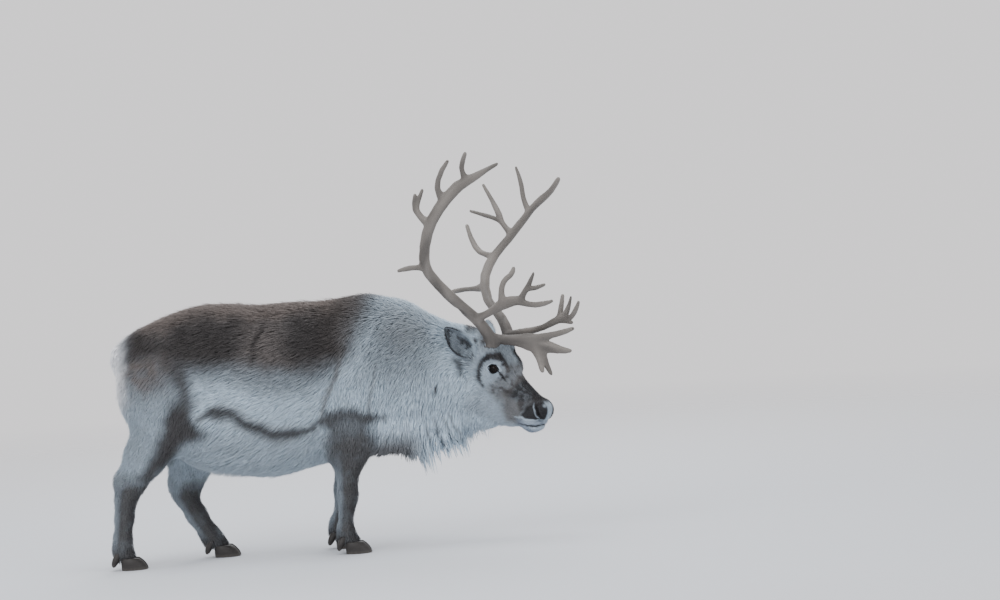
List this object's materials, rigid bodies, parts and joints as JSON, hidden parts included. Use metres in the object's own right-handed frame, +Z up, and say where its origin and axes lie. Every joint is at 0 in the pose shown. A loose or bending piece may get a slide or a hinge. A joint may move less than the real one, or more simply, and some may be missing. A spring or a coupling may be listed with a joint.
{
  "type": "reindeer",
  "caption": "Still life-size reindeer bull in winter coat, in mid step with its head low, with deep mane and branched antlers, for display standing on its hooves.",
  "frame": {"origin": "midway under the whole animal, at the level of the soles", "axes": "+X forward along the back, +Y to the animal's left, +Z up"},
  "size_m": [1.7676, 0.7102, 1.4269],
  "materials": {
    "coat": "dense hollow winter hair, grey-brown saddle over pale grey sides and a white belly",
    "mane": "long coarse pale grey hair, lying down and back",
    "leg_coat": "short close grey-brown hair",
    "face_coat": "short close hair, dark brow and nose bridge, pale lids and lips",
    "antler": "bare weathered bone, lengthwise grooves, paler worn tips",
    "hoof": "dark horn, satin, worn at the edge",
    "eye": "wet dark brown"
  },
  "bodies": {
    "root": {"leg_hind_right_upper": "coat", "leg_hind_left_upper": "coat", "leg_fore_right_upper": "coat", "leg_fore_left_upper": "coat", "torso": "coat", "neck": "mane", "leg_hind_right_middle": "leg_coat", "leg_hind_right_cannon": "leg_coat", "leg_hind_right_foot": "leg_coat", "leg_hind_left_middle": "leg_coat", "leg_hind_left_cannon": "leg_coat", "leg_hind_left_foot": "leg_coat", "leg_fore_right_middle": "leg_coat", "leg_fore_right_cannon": "leg_coat", "leg_fore_right_foot": "leg_coat", "leg_fore_left_middle": "leg_coat", "leg_fore_left_cannon": "leg_coat", "leg_fore_left_foot": "leg_coat", "hoof_hind_right_inner": "hoof", "dewclaw_hind_right_inner": "hoof", "hoof_hind_right_outer": "hoof", "dewclaw_hind_right_outer": "hoof", "hoof_hind_left_inner": "hoof", "dewclaw_hind_left_inner": "hoof", "hoof_hind_left_outer": "hoof", "dewclaw_hind_left_outer": "hoof", "hoof_fore_right_inner": "hoof", "dewclaw_fore_right_inner": "hoof", "hoof_fore_right_outer": "hoof", "dewclaw_fore_right_outer": "hoof", "hoof_fore_left_inner": "hoof", "dewclaw_fore_left_inner": "hoof", "hoof_fore_left_outer": "hoof", "dewclaw_fore_left_outer": "hoof", "antler_right_lower": "antler", "antler_right_middle": "antler", "antler_right_crown": "antler", "antler_right_back": "antler", "antler_right_rear": "antler", "antler_right_bez": "antler", "antler_right_brow": "antler", "antler_left_lower": "antler", "antler_left_middle": "antler", "antler_left_crown": "antler", "antler_left_back": "antler", "antler_left_rear": "antler", "antler_left_fork": "antler", "antler_left_brow": "antler", "eye_right": "eye", "ear_right": "face_coat", "eye_left": "eye", "ear_left": "face_coat", "head": "face_coat", "tail": "coat"}
  },
  "joints": []
}
